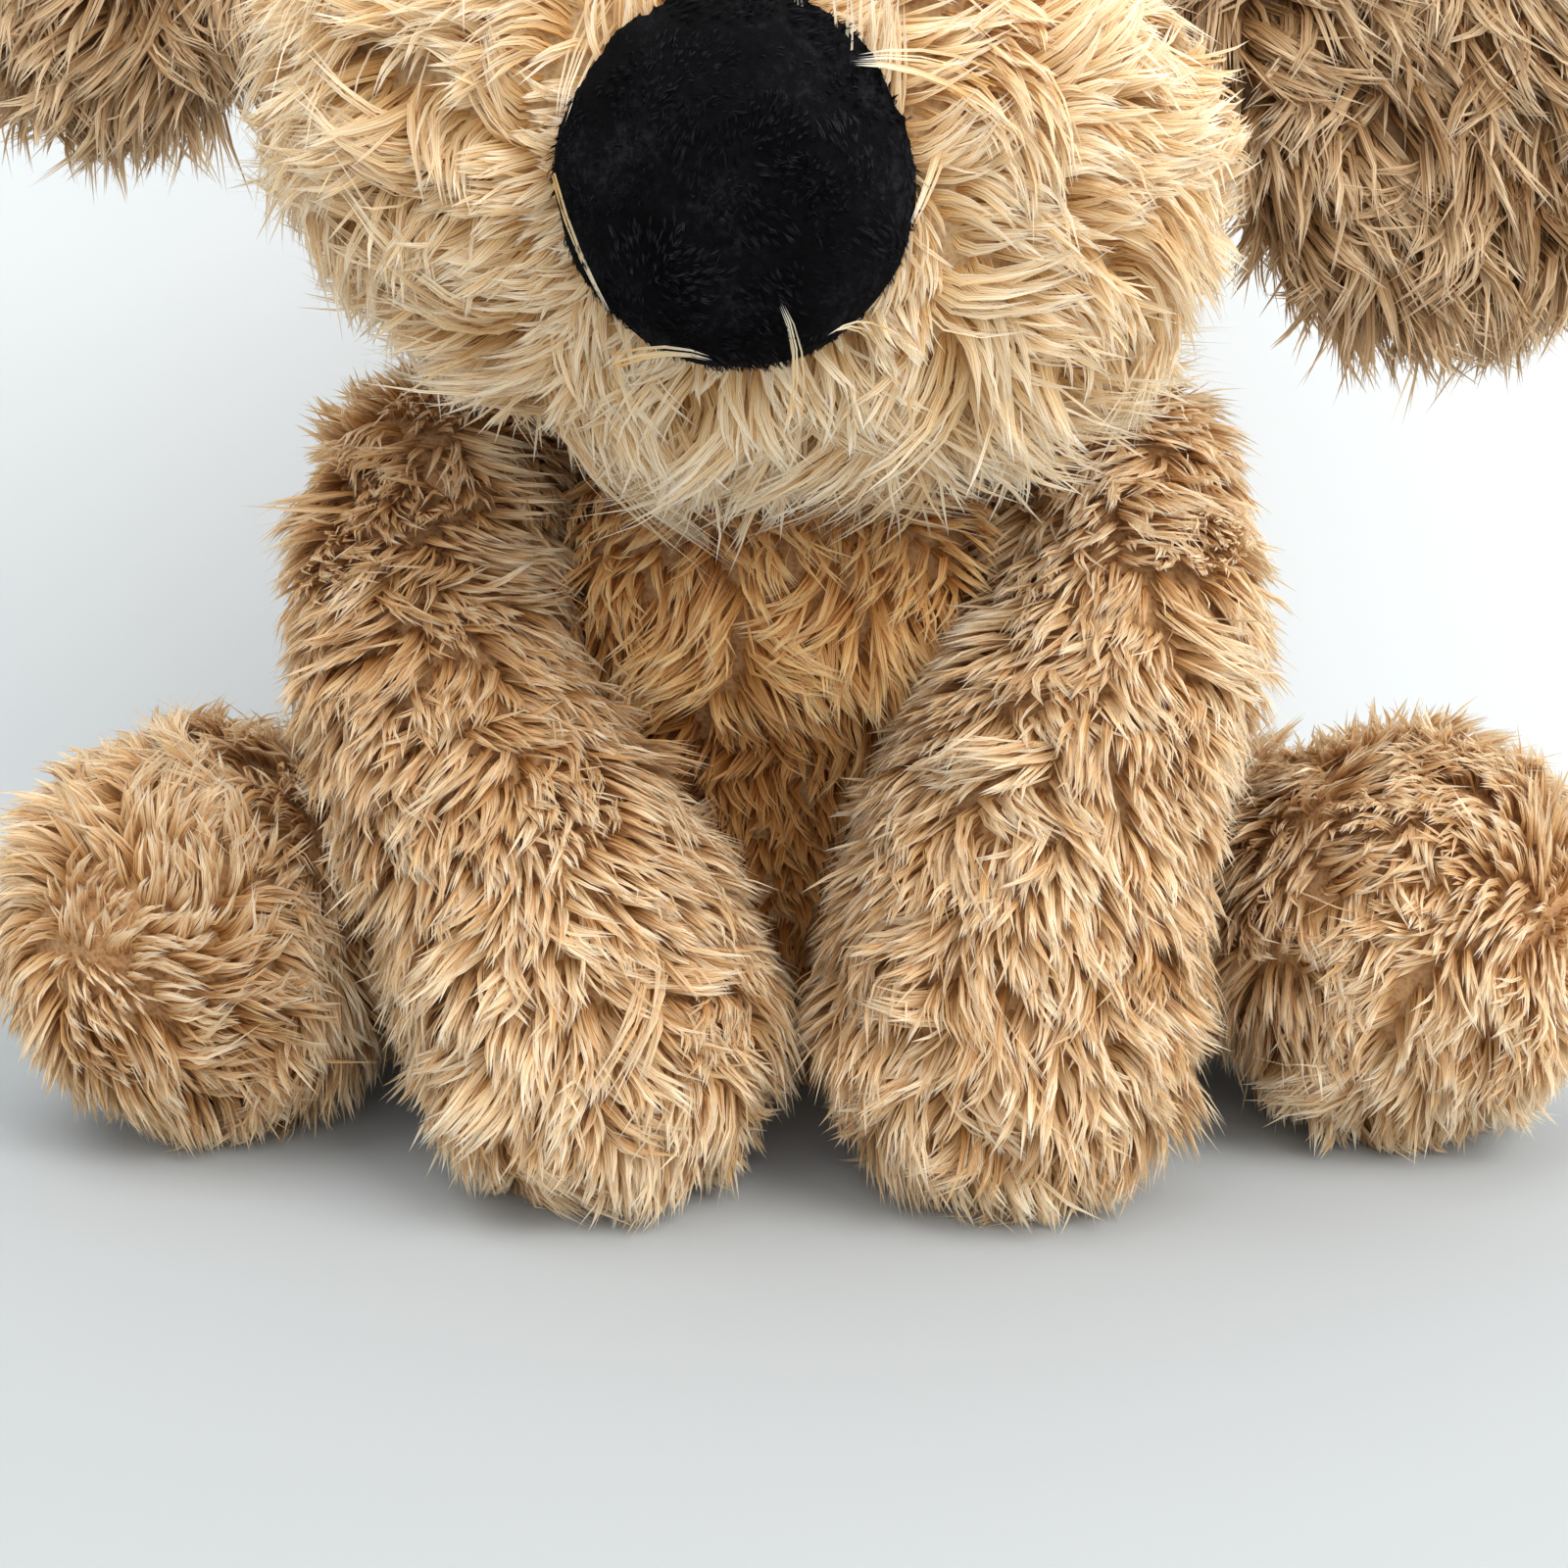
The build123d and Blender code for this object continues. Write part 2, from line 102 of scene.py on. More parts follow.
def smoothstep(low, high, value):
    """0 below low, 1 above high, soft between."""
    t = np.clip((value - low) / (high - low), 0.0, 1.0)
    return t * t * (3 - 2 * t)


WAVES = 5   # sine waves summed in each octave of drift


def drift(points, size, seed, octaves=2):
    """Soft vector noise over space with features about size millimetres across."""
    rng = np.random.default_rng(seed)
    total = np.zeros_like(points)
    strength = 1.0
    for _ in range(octaves):
        for _ in range(WAVES):
            wave = unit(rng.normal(size=3)) * (2 * math.pi / (size * rng.uniform(0.8, 1.6)))
            phase = rng.uniform(0, 2 * math.pi, 3)
            arm = rng.normal(size=3)
            total += strength * arm * np.sin(points @ wave[:, None] + phase)
        size *= 0.5
        strength *= 0.55
    return total / 3.0


def even_out(piece, size, iterations, factor=0.5):
    """Even faces of about size millimetres, then smoothed."""
    remesh = piece.modifiers.new("even", "REMESH")
    remesh.mode = "VOXEL"
    remesh.voxel_size = size * MM
    soften = piece.modifiers.new("soften", "SMOOTH")
    soften.factor = factor
    soften.iterations = iterations


def cloud_lumps(piece, name, scale, strength, level):
    """Lumps of clouds with a scale in metres and a height in millimetres."""
    clouds = bpy.data.textures.new(name, "CLOUDS")
    clouds.noise_scale = scale
    lumps = piece.modifiers.new("lumps", "DISPLACE")
    lumps.texture = clouds
    lumps.texture_coords = "GLOBAL"
    lumps.strength = strength * MM
    lumps.mid_level = level


def finish_piece(piece, material):
    """Smooth shading and one material."""
    choose(piece)
    bpy.ops.object.shade_smooth()
    piece.data.materials.append(material)


# --- skins --------------------------------------------------------------------------------
def outer_shell(node, name):
    """New piece from the outside face of a closed CAD cover."""
    source = frame["nodes"][node]
    deselect()
    skin = bpy.data.objects.new(name, source.data.copy())
    bpy.context.scene.collection.objects.link(skin)
    skin.data.materials.clear()
    choose(skin)
    bpy.ops.object.mode_set(mode="EDIT")
    bpy.ops.mesh.select_all(action="SELECT")
    bpy.ops.mesh.remove_doubles(threshold=WELD)
    bpy.ops.mesh.separate(type="LOOSE")
    bpy.ops.object.mode_set(mode="OBJECT")
    shells = sorted(bpy.context.selected_objects,
                    key=lambda o: max(o.dimensions) + sum(o.dimensions) * 0.001)
    outside = shells.pop()
    for inner in shells:
        bpy.data.objects.remove(inner)
    outside.name = name
    return outside


def soft_skin(node, name, sink, voxel, smooth):
    """Backing cloth of a furry cover: its outside face, evened out and sunk below the pile."""
    skin = outer_shell(node, name)
    even_out(skin, voxel, smooth, 0.6)
    shrink = skin.modifiers.new("sink", "DISPLACE")
    shrink.strength = -sink * MM
    shrink.mid_level = 0.0
    settle = skin.modifiers.new("settle", "SMOOTH")
    settle.factor = 0.5
    settle.iterations = 4
    apply_all(skin)
    return skin


# --- fur ----------------------------------------------------------------------------------
STRANDS = 5                      # fibres drawn in one lock
STEPS = (0.0, 0.36, 0.72, 1.0)   # along a fibre, root to tip
FINE_STEPS = (0.0, 0.27, 0.54, 0.8, 1.0)
MOST_TRIANGLES = 195000          # in one piece
BURIED = 4.0                     # a root this deep inside a neighbour grows nothing
ROOT_DEPTH = 0.8                 # of a lock's root below its skin
FIBRE_PITCH = 0.42               # between the fibres of a lock, side by side
FLOOR_ROOM = 0.3                 # least height of a lock's line above the floor
LEAST_HEIGHT = 0.0002            # of a fibre's corners above the floor, in metres
ODD_SHARE = 0.1                  # of the fibres that leave their lock


def mesh_arrays(skin):
    """Vertices in millimetres, their normals, and the triangles of a skin."""
    mesh = skin.data
    mesh.calc_loop_triangles()
    verts = np.zeros(len(mesh.vertices) * 3)
    normals = np.zeros(len(mesh.vertices) * 3)
    tris = np.zeros(len(mesh.loop_triangles) * 3, np.int64)
    mesh.vertices.foreach_get("co", verts)
    mesh.vertices.foreach_get("normal", normals)
    mesh.loop_triangles.foreach_get("vertices", tris)
    return verts.reshape(-1, 3) / MM, normals.reshape(-1, 3), tris.reshape(-1, 3)


def along_blocks(middle, block=6.0):
    """Order that walks the faces of a skin block by block, so that even steps scatter evenly."""
    cell = np.floor((middle - middle.min(0)) / block).astype(np.int64)
    code = np.zeros(len(cell), np.int64)
    for bit in range(7):
        for axis in range(3):
            code |= ((cell[:, axis] >> bit) & 1) << (3 * bit + axis)
    return np.argsort(code, kind="stable")


def follicles(skin, count, thick, rng):
    """Evenly scattered roots on a skin, denser where thick says: points and normals."""
    verts, normals, tris = mesh_arrays(skin)
    a, b, c = (verts[tris[:, k]] for k in range(3))
    area = 0.5 * np.linalg.norm(np.cross(b - a, c - a), axis=1)
    middle = (a + b + c) / 3
    order = along_blocks(middle)
    run = np.cumsum((area * thick(middle))[order])
    pick = (np.arange(count) + rng.random(count)) / count * run[-1]
    face = order[np.minimum(np.searchsorted(run, pick), len(order) - 1)]
    r1, r2 = np.sqrt(rng.random(count))[:, None], rng.random(count)[:, None]
    shares = (1 - r1, r1 * (1 - r2), r1 * r2)
    points = sum(w * verts[tris[face, k]] for k, w in enumerate(shares))
    upright = sum(w * normals[tris[face, k]] for k, w in enumerate(shares))
    return points, unit(upright)


def covered(points, neighbours, depth):
    """True where a point lies deeper than depth millimetres inside a neighbouring solid."""
    hidden = np.zeros(len(points), bool)
    for node in neighbours:
        shell = frame["nodes"][node]
        tree = BVHTree.FromPolygons([v.co for v in shell.data.vertices],
                                    [p.vertices for p in shell.data.polygons])
        low, high = (np.array(corner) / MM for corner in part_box(node))
        near = np.all((points > low) & (points < high), axis=1)
        for index in np.nonzero(near & ~hidden)[0]:
            place = Vector(points[index] * MM)
            spot, normal, _, distance = tree.find_nearest(place)
            hidden[index] = (place - spot).dot(normal) < 0 and distance > depth * MM
    return hidden


def tuft_leads(points, share, rng):
    """For each lock the index of the lock that its tuft follows."""
    centres = np.nonzero(rng.random(len(points)) < share)[0]
    tree = kdtree.KDTree(len(centres))
    for index in centres:
        tree.insert(points[index], int(index))
    tree.balance()
    return np.array([tree.find(p)[1] for p in points])


class Pile:
    """How one kind of pile stands: millimetres and degrees."""

    def __init__(self, comb, length, tone, width=0.53, lift=(56, 22), droop=0.22, gather=0.3,
                 tuft=0.07, wander=18.0, bend=0.52, spread=0.85, thick=None, steps=STEPS):
        self.comb, self.length, self.tone, self.width = comb, length, tone, width
        self.lift, self.droop, self.gather, self.tuft = lift, droop, gather, tuft
        self.wander, self.bend, self.spread, self.steps = wander, bend, spread, steps
        self.thick = thick or (lambda points: np.ones(len(points)))


def lock_lines(pile, points, normals, lead, rng, seed):
    """A function giving where each lock runs: row indices and a column of steps to points."""
    total = len(points)
    column = (total, 1)
    flow = pile.comb(points, normals) + 0.3 * drift(points, 30.0, seed + 2)
    flow = unit(flow - dot(flow, normals) * normals)
    swing = np.radians(pile.wander * rng.normal(size=column)[lead] + 9 * rng.normal(size=column))
    flow = flow * np.cos(swing) + np.cross(normals, flow) * np.sin(swing)
    reach = pile.length(points, normals)[:, None] * rng.uniform(0.78, 1.15, column)
    reach *= (0.85 + 0.3 * rng.random(column))[lead]
    rise = np.radians(
        pile.lift[0] + 7 * rng.normal(size=column) + 8 * rng.normal(size=column)[lead])
    fall = np.radians(
        pile.lift[1] + 7 * rng.normal(size=column) + 11 * rng.normal(size=column)[lead])
    first = flow * np.cos(rise) + normals * np.sin(rise)
    last = unit(flow * np.cos(fall) + normals * np.sin(fall) + np.array((0, 0, -pile.droop)))
    side = unit(np.cross(first, normals))
    curl = side * (pile.bend * (0.6 * rng.normal(size=column) + rng.normal(size=column)[lead]))
    hold = pile.gather * rng.uniform(0.5, 1.3, column)

    def alone(at, s):
        return points[at] - ROOT_DEPTH * normals[at] + reach[at] * (
            (first[at] - 0.5 * curl[at]) * s + (last[at] - first[at] + 2 * curl[at]) * s * s / 2)

    def line(at, s):
        own = alone(at, s)
        weight = np.clip(hold[at] * np.maximum(s, 0) ** 1.4, 0, 0.85)
        return own + weight * (alone(lead[at], s) - own)

    return line, side, reach


def grow(name, body, skin, count, pile, material, hidden_in=(), seed=1):
    """Long pile on one skin: tufts of locks, and each lock a few flat tapered fibres."""
    rng = np.random.default_rng(seed)
    points, normals = follicles(skin, count, pile.thick, rng)
    keep = ~covered(points, hidden_in, BURIED)
    points, normals = points[keep], normals[keep]
    total = len(points)
    lead = tuft_leads(points, pile.tuft, rng)
    line, side, reach = lock_lines(pile, points, normals, lead, rng, seed)
    at = np.repeat(np.arange(total), STRANDS)
    number = len(at)
    column = (number, 1)
    rank = np.tile(np.arange(STRANDS) - (STRANDS - 1) / 2, total)[:, None]
    out = (FIBRE_PITCH * rank + rng.normal(0, 0.2, column)) * pile.spread
    up = (0.25 - 0.13 * rank ** 2 + rng.normal(0, 0.25, column)) * pile.spread
    far = rng.uniform(0.88, 1.06, column) - 0.02 * rank ** 2
    kink = reach[at] * 0.02 * rng.normal(size=column)
    stray = (rng.random(column) < ODD_SHARE) * reach[at] * rng.normal(0, 0.24, column)
    lift = (rng.random(column) < ODD_SHARE) * reach[at] * rng.uniform(0.0, 0.22, column)
    rings = []
    for s in pile.steps:
        apart = 1.0 - 0.5 * s * s
        place = line(at, s * far) + side[at] * (out * apart + (kink + stray) * s * s)
        place += normals[at] * (up * apart + lift * s * s)
        np.maximum(place[:, 2], FLOOR_ROOM + 0.5 * rng.random(number), out=place[:, 2])
        rings.append(place)
    girth = pile.width * rng.uniform(0.6, 1.3, number)
    facing = unit(normals[at] + 0.45 * rng.normal(size=(number, 3)))
    shade = pile.tone(points, normals) + 0.15 * rng.normal(size=total)
    shade = shade + 0.1 * rng.normal(size=total)[lead] + 0.07 * drift(points, 20.0, seed + 5)[:, 0]
    shade = np.clip(shade[at] + 0.19 * rng.normal(size=number), 0, 0.999)
    write_fibres(name, body, rings, pile.steps, facing, girth, np.floor(shade * COLUMNS),
                 material)


def fibre_corners(rings, steps, facing, girth):
    """Corners of each flat fibre, two at every step and one at the tip, in metres."""
    corners = []
    for k, s in enumerate(steps[:-1]):
        ahead = rings[k + 1] - rings[max(k - 1, 0)]
        taper = 0.5 * min(0.75 + 0.9 * s, 1.05, 0.45 + 1.5 * (1 - s))
        across = unit(np.cross(ahead, facing)) * (girth * taper)[:, None]
        corners += [rings[k] - across, rings[k] + across]
    corners.append(rings[-1])
    co = np.stack(corners, axis=1) * MM
    co[:, :, 2] = np.maximum(co[:, :, 2], LEAST_HEIGHT)
    return co


def write_fibres(name, body, rings, steps, facing, girth, column, material):
    """Turn fibre lines into flat tapers with their palette map, in pieces of bounded size.

    u is the palette column with the place across the fibre in it, and v runs root to tip.
    """
    co = fibre_corners(rings, steps, facing, girth)
    points = 2 * len(steps) - 1
    faces = [(2 * k, 2 * k + 1, 2 * k + 3, 2 * k + 2) for k in range(len(steps) - 2)]
    faces.append((points - 3, points - 2, points - 1))
    corner = np.concatenate(faces)
    sizes = np.array([len(face) for face in faces])
    across = np.array([k % 2 for k in range(points - 1)] + [0.5])[corner]
    along = np.array([steps[k // 2] for k in range(points)])[corner]
    total = len(girth)
    parts = math.ceil(total * (points - 2) / MOST_TRIANGLES)
    cuts = [round(total * i / parts) for i in range(parts + 1)]
    for index, (low, high) in enumerate(zip(cuts, cuts[1:])):
        number = high - low
        label = name if parts == 1 else f"{name}_{index + 1}"
        mesh = bpy.data.meshes.new(label)
        mesh.vertices.add(number * points)
        mesh.vertices.foreach_set("co", co[low:high].reshape(-1).astype(np.float32))
        corners = (np.arange(number)[:, None] * points + corner).reshape(-1)
        mesh.loops.add(len(corners))
        mesh.loops.foreach_set("vertex_index", corners.astype(np.int32))
        totals = np.tile(sizes, number)
        starts = np.concatenate([[0], np.cumsum(totals)[:-1]])
        mesh.polygons.add(len(totals))
        mesh.polygons.foreach_set("loop_start", starts.astype(np.int32))
        mesh.polygons.foreach_set("loop_total", totals.astype(np.int32))
        mesh.polygons.foreach_set("use_smooth", np.ones(len(totals), bool))
        mesh.update(calc_edges=True)
        layer = mesh.uv_layers.new(name="OFBake")
        u = (column[low:high, None] + 0.06 + 0.88 * across) / COLUMNS
        v = np.broadcast_to(0.01 + 0.98 * along, u.shape)
        layer.data.foreach_set("uv", np.stack([u, v], axis=-1).reshape(-1).astype(np.float32))
        mesh.validate()
        pelt = bpy.data.objects.new(label, mesh)
        bpy.context.scene.collection.objects.link(pelt)
        mesh.materials.append(material)
        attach(pelt, body)


# --- materials ----------------------------------------------------------------------------
def srgb(r, g, b):
    """Screen colour, 0 to 255, as linear values."""
    out = []
    for value in (r, g, b):
        value /= 255.0
        out.append(value / 12.92 if value <= 0.04045 else ((value + 0.055) / 1.055) ** 2.4)
    return (*out, 1.0)


def new_material(name):
    """Empty node material with its shader."""
    made = bpy.data.materials.new(name)
    made.use_nodes = True
    nodes = made.node_tree.nodes
    shader = nodes["Principled BSDF"]
    return made, nodes, made.node_tree.links, shader


def ramp_node(nodes, stops):
    """Colour ramp with the given (place, colour) stops."""
    ramp = nodes.new("ShaderNodeValToRGB")
    band = ramp.color_ramp
    while len(band.elements) < len(stops):
        band.elements.new(0.5)
    for element, (place, colour) in zip(band.elements, stops):
        element.position = place
        element.color = colour
    return ramp


def math_node(nodes, links, kind, a, b=None, c=None):
    """Maths node fed by sockets or numbers."""
    node = nodes.new("ShaderNodeMath")
    node.operation = kind
    for slot_index, value in enumerate((a, b, c)):
        if value is None:
            continue
        if isinstance(value, (int, float)):
            node.inputs[slot_index].default_value = value
        else:
            links.new(value, node.inputs[slot_index])
    return node.outputs[0]


PLACES = (0.0, 0.35, 0.8, 1.0)   # of a palette's colours, root to tip; the darker root colours are painted shade


def pile_material(name, dark, light, places=PLACES, roughness=0.55, sheen=0.06, glow=0.48,
                  shine=0.28):
    """Long pile: palette column sets the tone, length runs root to tip, and light comes through.

    dark and light are screen colours at the same places along a fibre, darker towards the root as
    painted shade between the locks and paler at the tip as painted highlight. The noise streaks
    the tone, and painted shade at the edges and middle of a flat fibre, with a painted highlight
    along each half, makes it look like two strands.
    """
    made, nodes, links, shader = new_material(name)
    uv = nodes.new("ShaderNodeUVMap")
    uv.uv_map = "OFBake"
    split = nodes.new("ShaderNodeSeparateXYZ")
    links.new(uv.outputs[0], split.inputs[0])
    wide = math_node(nodes, links, "MULTIPLY", split.outputs[0], float(COLUMNS))
    column = math_node(nodes, links, "FLOOR", wide)
    across = math_node(nodes, links, "FRACT", wide)
    tone = math_node(nodes, links, "DIVIDE", column, float(COLUMNS - 1))
    place = nodes.new("ShaderNodeCombineXYZ")
    links.new(math_node(nodes, links, "MULTIPLY", across, 3.2), place.inputs[0])
    links.new(math_node(nodes, links, "MULTIPLY", split.outputs[1], 2.2), place.inputs[1])
    links.new(math_node(nodes, links, "MULTIPLY", column, 3.37), place.inputs[2])
    fibre = nodes.new("ShaderNodeTexNoise")
    fibre.inputs["Scale"].default_value = 1.0
    fibre.inputs["Detail"].default_value = 2.0
    links.new(place.outputs[0], fibre.inputs["Vector"])
    streak = math_node(nodes, links, "SUBTRACT", fibre.outputs["Fac"], 0.5)
    along = math_node(nodes, links, "MULTIPLY_ADD", streak, 0.3, split.outputs[1])
    deep = ramp_node(nodes, [(at, srgb(*colour)) for at, colour in zip(places, dark)])
    pale = ramp_node(nodes, [(at, srgb(*colour)) for at, colour in zip(places, light)])
    links.new(along, deep.inputs[0])
    links.new(along, pale.inputs[0])
    mix = nodes.new("ShaderNodeMix")
    mix.data_type = "RGBA"
    amount = math_node(nodes, links, "MULTIPLY_ADD", streak, 1.3, tone)
    amount.node.use_clamp = True
    links.new(amount, mix.inputs["Factor"])
    links.new(deep.outputs[0], mix.inputs["A"])
    links.new(pale.outputs[0], mix.inputs["B"])
    # painted shade at the edges and middle of each flat fibre and a painted highlight along its
    # two halves, so that it shades like two round strands
    turn = math_node(nodes, links, "MULTIPLY", across, 2 * math.pi)
    twin = math_node(nodes, links, "ABSOLUTE", math_node(nodes, links, "SINE", turn))
    painted_strand_shade = math_node(nodes, links, "MULTIPLY_ADD", twin, 0.5, 0.66)
    strand_shaded_colour = nodes.new("ShaderNodeMix")
    strand_shaded_colour.data_type = "RGBA"
    strand_shaded_colour.blend_type = "MULTIPLY"
    strand_shaded_colour.inputs["Factor"].default_value = 1.0
    links.new(mix.outputs["Result"], strand_shaded_colour.inputs["A"])
    links.new(painted_strand_shade, strand_shaded_colour.inputs["B"])
    links.new(strand_shaded_colour.outputs["Result"], shader.inputs["Base Color"])
    shader.inputs["Roughness"].default_value = roughness
    shader.inputs["Specular IOR Level"].default_value = shine
    shader.inputs["Sheen Weight"].default_value = sheen
    shader.inputs["Sheen Roughness"].default_value = 0.4
    through = nodes.new("ShaderNodeBsdfTranslucent")
    links.new(strand_shaded_colour.outputs["Result"], through.inputs["Color"])
    both = nodes.new("ShaderNodeMixShader")
    both.inputs[0].default_value = glow
    links.new(shader.outputs[0], both.inputs[1])
    links.new(through.outputs[0], both.inputs[2])
    links.new(both.outputs[0], nodes["Material Output"].inputs["Surface"])
    return made


def backing_material(name, colour, pale):
    """Knitted backing cloth under the pile: small loops in rows."""
    made, nodes, links, shader = new_material(name)
    where = nodes.new("ShaderNodeTexCoord")
    loops = nodes.new("ShaderNodeTexVoronoi")
    loops.inputs["Scale"].default_value = 1100.0
    links.new(where.outputs["Object"], loops.inputs["Vector"])
    cloud = nodes.new("ShaderNodeTexNoise")
    cloud.inputs["Scale"].default_value = 60.0
    links.new(where.outputs["Object"], cloud.inputs["Vector"])
    blend = math_node(
        nodes, links, "MULTIPLY_ADD", loops.outputs["Distance"], 0.5, cloud.outputs["Fac"])
    ramp = ramp_node(nodes, [(0.35, colour), (0.95, pale)])
    links.new(blend, ramp.inputs[0])
    links.new(ramp.outputs[0], shader.inputs["Base Color"])
    bump = nodes.new("ShaderNodeBump")
    bump.inputs["Strength"].default_value = 0.6
    bump.inputs["Distance"].default_value = 0.0004
    links.new(loops.outputs["Distance"], bump.inputs["Height"])
    links.new(bump.outputs[0], shader.inputs["Normal"])
    shader.inputs["Roughness"].default_value = 0.9
    return made


def fleece_material(name):
    """Black brushed fleece of the nose."""
    made, nodes, links, shader = new_material(name)
    where = nodes.new("ShaderNodeTexCoord")
    fuzz = nodes.new("ShaderNodeTexNoise")
    fuzz.inputs["Scale"].default_value = 900.0
    fuzz.inputs["Detail"].default_value = 6.0
    fuzz.inputs["Roughness"].default_value = 0.7
    links.new(where.outputs["Object"], fuzz.inputs["Vector"])
    cloud = nodes.new("ShaderNodeTexNoise")
    cloud.inputs["Scale"].default_value = 110.0
    cloud.inputs["Detail"].default_value = 4.0
    links.new(where.outputs["Object"], cloud.inputs["Vector"])
    amount = math_node(nodes, links, "MULTIPLY", fuzz.outputs["Fac"], cloud.outputs["Fac"])
    ramp = ramp_node(
        nodes, [(0.14, srgb(2, 2, 3)), (0.28, srgb(9, 9, 11)), (0.42, srgb(30, 29, 33))])
    links.new(amount, ramp.inputs[0])
    links.new(ramp.outputs[0], shader.inputs["Base Color"])
    bump = nodes.new("ShaderNodeBump")
    bump.inputs["Strength"].default_value = 0.7
    bump.inputs["Distance"].default_value = 0.0006
    links.new(fuzz.outputs["Fac"], bump.inputs["Height"])
    links.new(bump.outputs[0], shader.inputs["Normal"])
    shader.inputs["Roughness"].default_value = 0.92
    shader.inputs["Specular IOR Level"].default_value = 0.06
    return made


def hard_plastic(name, colour, roughness, scale=300.0):
    """Moulded plastic with faint handling marks."""
    made, nodes, links, shader = new_material(name)
    where = nodes.new("ShaderNodeTexCoord")
    marks = nodes.new("ShaderNodeTexNoise")
    marks.inputs["Scale"].default_value = scale
    marks.inputs["Detail"].default_value = 5.0
    links.new(where.outputs["Object"], marks.inputs["Vector"])
    gloss = math_node(nodes, links, "MULTIPLY_ADD", marks.outputs["Fac"], 0.12, roughness)
    links.new(gloss, shader.inputs["Roughness"])
    low = tuple(v * 0.85 for v in colour[:3]) + (1.0,)
    ramp = ramp_node(nodes, [(0.3, low), (0.7, colour)])
    links.new(marks.outputs["Fac"], ramp.inputs[0])
    links.new(ramp.outputs[0], shader.inputs["Base Color"])
    return made


def inner_cloth(name, colour, scale, rough=0.9):
    """Fibre fill, bag cloth or thread: soft mottled surface."""
    made, nodes, links, shader = new_material(name)
    where = nodes.new("ShaderNodeTexCoord")
    weave = nodes.new("ShaderNodeTexNoise")
    weave.inputs["Scale"].default_value = scale
    weave.inputs["Detail"].default_value = 6.0
    links.new(where.outputs["Object"], weave.inputs["Vector"])
    low = tuple(v * 0.7 for v in colour[:3]) + (1.0,)
    ramp = ramp_node(nodes, [(0.35, low), (0.65, colour)])
    links.new(weave.outputs["Fac"], ramp.inputs[0])
    links.new(ramp.outputs[0], shader.inputs["Base Color"])
    bump = nodes.new("ShaderNodeBump")
    bump.inputs["Strength"].default_value = 0.5
    bump.inputs["Distance"].default_value = 0.0005
    links.new(weave.outputs["Fac"], bump.inputs["Height"])
    links.new(bump.outputs[0], shader.inputs["Normal"])
    shader.inputs["Roughness"].default_value = rough
    return made


# Each palette runs root to tip. Its root is darker and more saturated: painted shade between the
# locks, warm like light bounced among the fibres. Its tip is palest: painted highlight.
TAN = pile_material(
    "tan_pile",
    ((146, 88, 34), (186, 130, 66), (224, 186, 130), (240, 214, 170)),
    ((198, 142, 74), (236, 204, 150), (252, 240, 214), (255, 252, 240)))
# painted shade: the deepest and most saturated roots, for the torso, whose front lies in shadow
# under the muzzle
CHEST = pile_material(
    "chest_pile",
    ((118, 58, 10), (176, 110, 42), (216, 162, 94), (236, 196, 136)),
    ((186, 118, 44), (240, 192, 118), (252, 226, 170), (255, 242, 206)))
CREAM = pile_material(
    "cream_pile",
    ((204, 148, 78), (222, 182, 118), (238, 212, 168), (246, 230, 200)),
    ((232, 188, 118), (246, 222, 174), (254, 244, 222), (255, 253, 242)))
BROWN = pile_material(
    "brown_pile",
    ((90, 48, 14), (134, 90, 46), (176, 140, 96), (198, 168, 128)),
    ((122, 80, 36), (192, 154, 104), (238, 216, 180), (250, 238, 216)))
FUZZ = pile_material(
    "black_fuzz",
    ((2, 2, 3), (6, 6, 8), (10, 10, 12)),
    ((8, 8, 10), (24, 23, 27), (52, 50, 55)),
    (0.0, 0.5, 1.0), 0.8, 0.0, 0.1, 0.06)
TAN_BACK = backing_material("tan_backing", srgb(124, 86, 50), srgb(178, 138, 94))
CREAM_BACK = backing_material("cream_backing", srgb(132, 96, 60), srgb(190, 158, 116))
BROWN_BACK = backing_material("brown_backing", srgb(64, 40, 20), srgb(110, 80, 50))
FLEECE = fleece_material("black_fleece_pile")
EYE_BLACK = hard_plastic("eye_black", srgb(12, 9, 8), 0.06)
WASHER_WHITE = hard_plastic("washer_white", srgb(228, 228, 222), 0.45)
PELLET = hard_plastic("pellet_clear", srgb(214, 218, 222), 0.3, 900.0)
FIBRE_FILL = inner_cloth("fibre_fill", srgb(238, 238, 234), 240.0)
BAG_CLOTH = inner_cloth("bag_cloth", srgb(222, 218, 206), 900.0)
SEAM_THREAD = inner_cloth("seam_thread", srgb(150, 110, 70), 1600.0)


# --- inside the covers --------------------------------------------------------------------
def inner_wad(node, body, finish, voxel, lumps):
    """Soft piece in place of a wad of stuffing or a bean bag: evened, then made lumpy inwards."""
    wad = outer_shell(node, f"{node}_soft")
    even_out(wad, voxel, 3)
    cloud_lumps(wad, f"{node}_lumps", 5 * voxel * MM, lumps, 1.0)
    apply_all(wad)
    finish_piece(wad, finish)
    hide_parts(node)
    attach(wad, body)


GRAIN_RATIO = 0.07   # of a pellet's faces that are kept


def light_pellets(node, body):
    """The pellets of the seat bag, each with fewer faces than its solid."""
    source = frame["nodes"][node]
    deselect()
    grains = bpy.data.objects.new("seat_bag_grains", source.data.copy())
    bpy.context.scene.collection.objects.link(grains)
    grains.data.materials.clear()
    choose(grains)
    bpy.ops.object.mode_set(mode="EDIT")
    bpy.ops.mesh.select_all(action="SELECT")
    bpy.ops.mesh.remove_doubles(threshold=WELD / 2)
    bpy.ops.object.mode_set(mode="OBJECT")
    thin = grains.modifiers.new("fewer faces", "DECIMATE")
    thin.ratio = GRAIN_RATIO
    apply_all(grains)
    finish_piece(grains, PELLET)
    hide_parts(node)
    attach(grains, body)


def dress(piece, material):
    """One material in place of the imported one."""
    piece.data.materials.clear()
    piece.data.materials.append(material)


